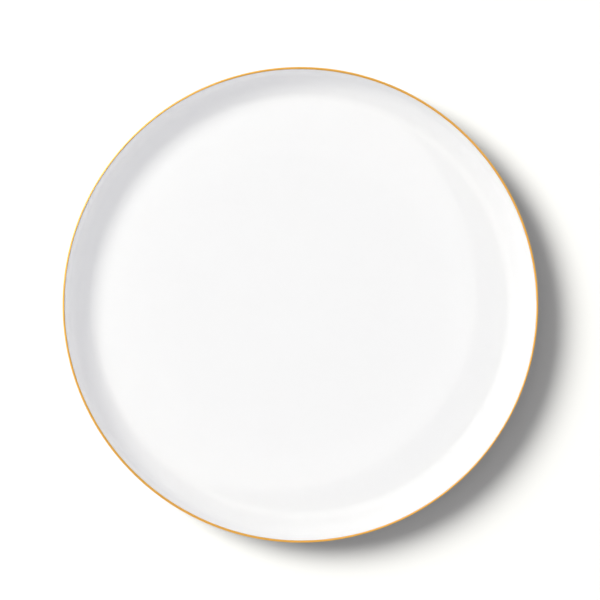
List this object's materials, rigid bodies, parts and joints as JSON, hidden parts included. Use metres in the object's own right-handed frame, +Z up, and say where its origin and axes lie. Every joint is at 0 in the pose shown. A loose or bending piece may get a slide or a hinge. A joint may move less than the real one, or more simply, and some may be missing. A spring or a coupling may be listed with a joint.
{
  "type": "dinner plate",
  "caption": "Round coupe dinner plate in white glazed china: level well, low upright wall on a tight cove, thin lip banded in gold, low foot ring underneath.",
  "frame": {"origin": "on the table under the centre of the plate: the foot ring's bearing face is at z = 0", "axes": "+Z up along the axis of turning; +X and +Y are any two radii, because the plate is round"},
  "size_m": [0.27, 0.27, 0.022],
  "materials": {
    "bare_china": "matt unglazed china, ground flat on the bearing face",
    "clear_glaze": "high gloss, opaque white over the china",
    "fired_gold": "burnished gold",
    "gold_print": "satin printed gold"
  },
  "bodies": {
    "root": {"china_body": "bare_china", "glaze_coat": "clear_glaze", "foot_recess_glaze": "clear_glaze", "gold_lip_band": "fired_gold", "backstamp": "gold_print"}
  },
  "joints": []
}
